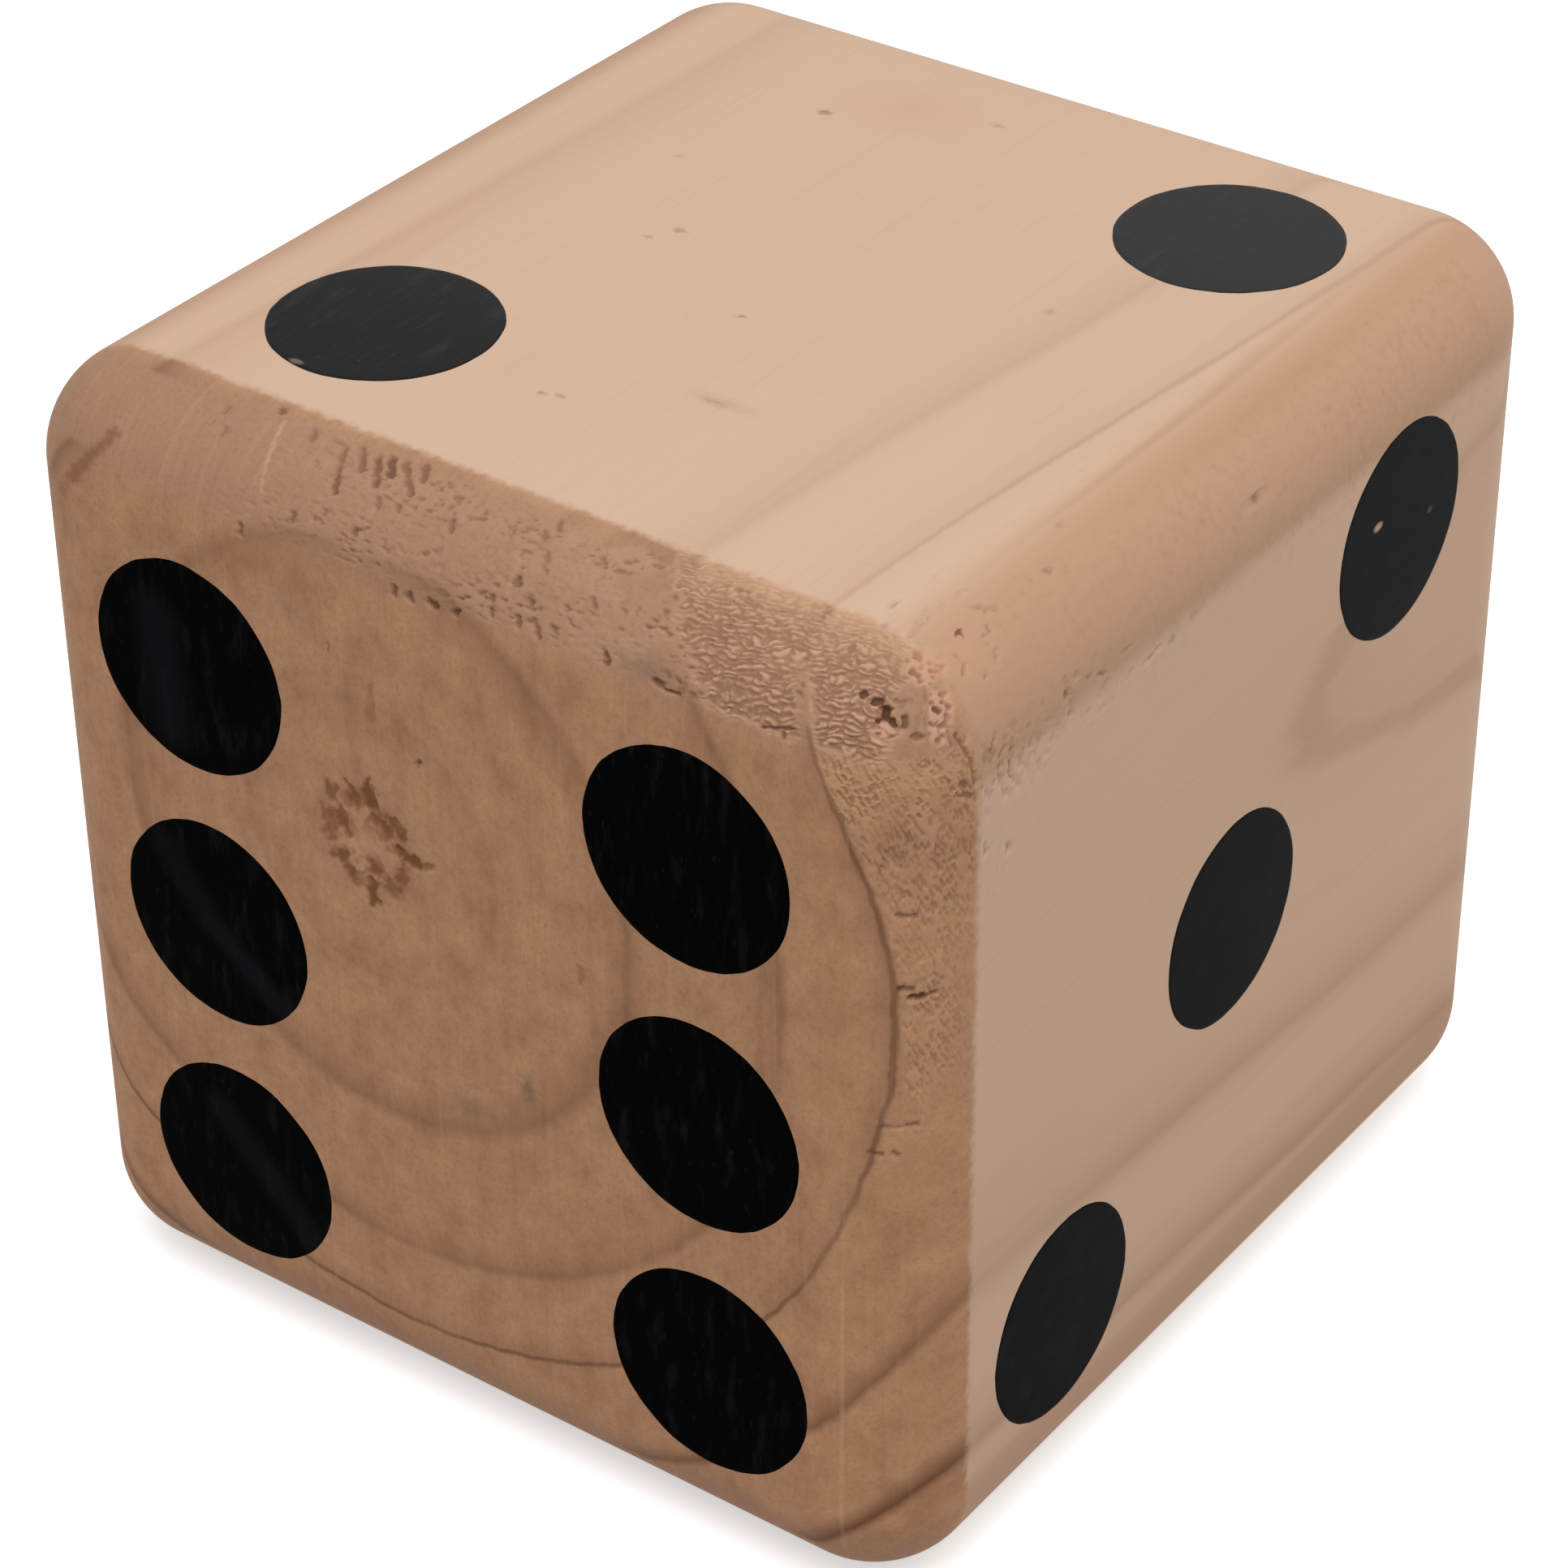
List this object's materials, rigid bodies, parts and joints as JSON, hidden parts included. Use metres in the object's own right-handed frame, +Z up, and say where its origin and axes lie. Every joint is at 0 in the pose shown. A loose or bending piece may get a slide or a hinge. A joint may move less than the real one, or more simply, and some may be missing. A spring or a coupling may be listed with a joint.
{
  "type": "wooden die",
  "caption": "Large solid-wood game die with rounded edges and round black painted pips, for rolling on a lawn or floor.",
  "frame": {"origin": "middle of the face that the die stands on (the five)", "axes": "+Z up to the two, -Y out of the six (end grain, so the grain runs along Y), +X out of the three"},
  "size_m": [0.089, 0.0954, 0.089],
  "materials": {
    "pine": "unvarnished softwood, planed sides and sawn end grain, edges routed round and lightly sanded",
    "black_paint": "satin black paint, stencilled and soaked into the wood"
  },
  "bodies": {
    "root": {"die_block": "pine", "one_pip_centre": "black_paint", "two_pip_lower_left": "black_paint", "two_pip_upper_right": "black_paint", "three_pip_lower_left": "black_paint", "three_pip_centre": "black_paint", "three_pip_upper_right": "black_paint", "four_pip_upper_left": "black_paint", "four_pip_upper_right": "black_paint", "four_pip_lower_left": "black_paint", "four_pip_lower_right": "black_paint", "five_pip_upper_left": "black_paint", "five_pip_upper_right": "black_paint", "five_pip_lower_left": "black_paint", "five_pip_lower_right": "black_paint", "five_pip_centre": "black_paint", "six_pip_upper_left": "black_paint", "six_pip_upper_right": "black_paint", "six_pip_lower_left": "black_paint", "six_pip_lower_right": "black_paint", "six_pip_middle_left": "black_paint", "six_pip_middle_right": "black_paint"}
  },
  "joints": []
}
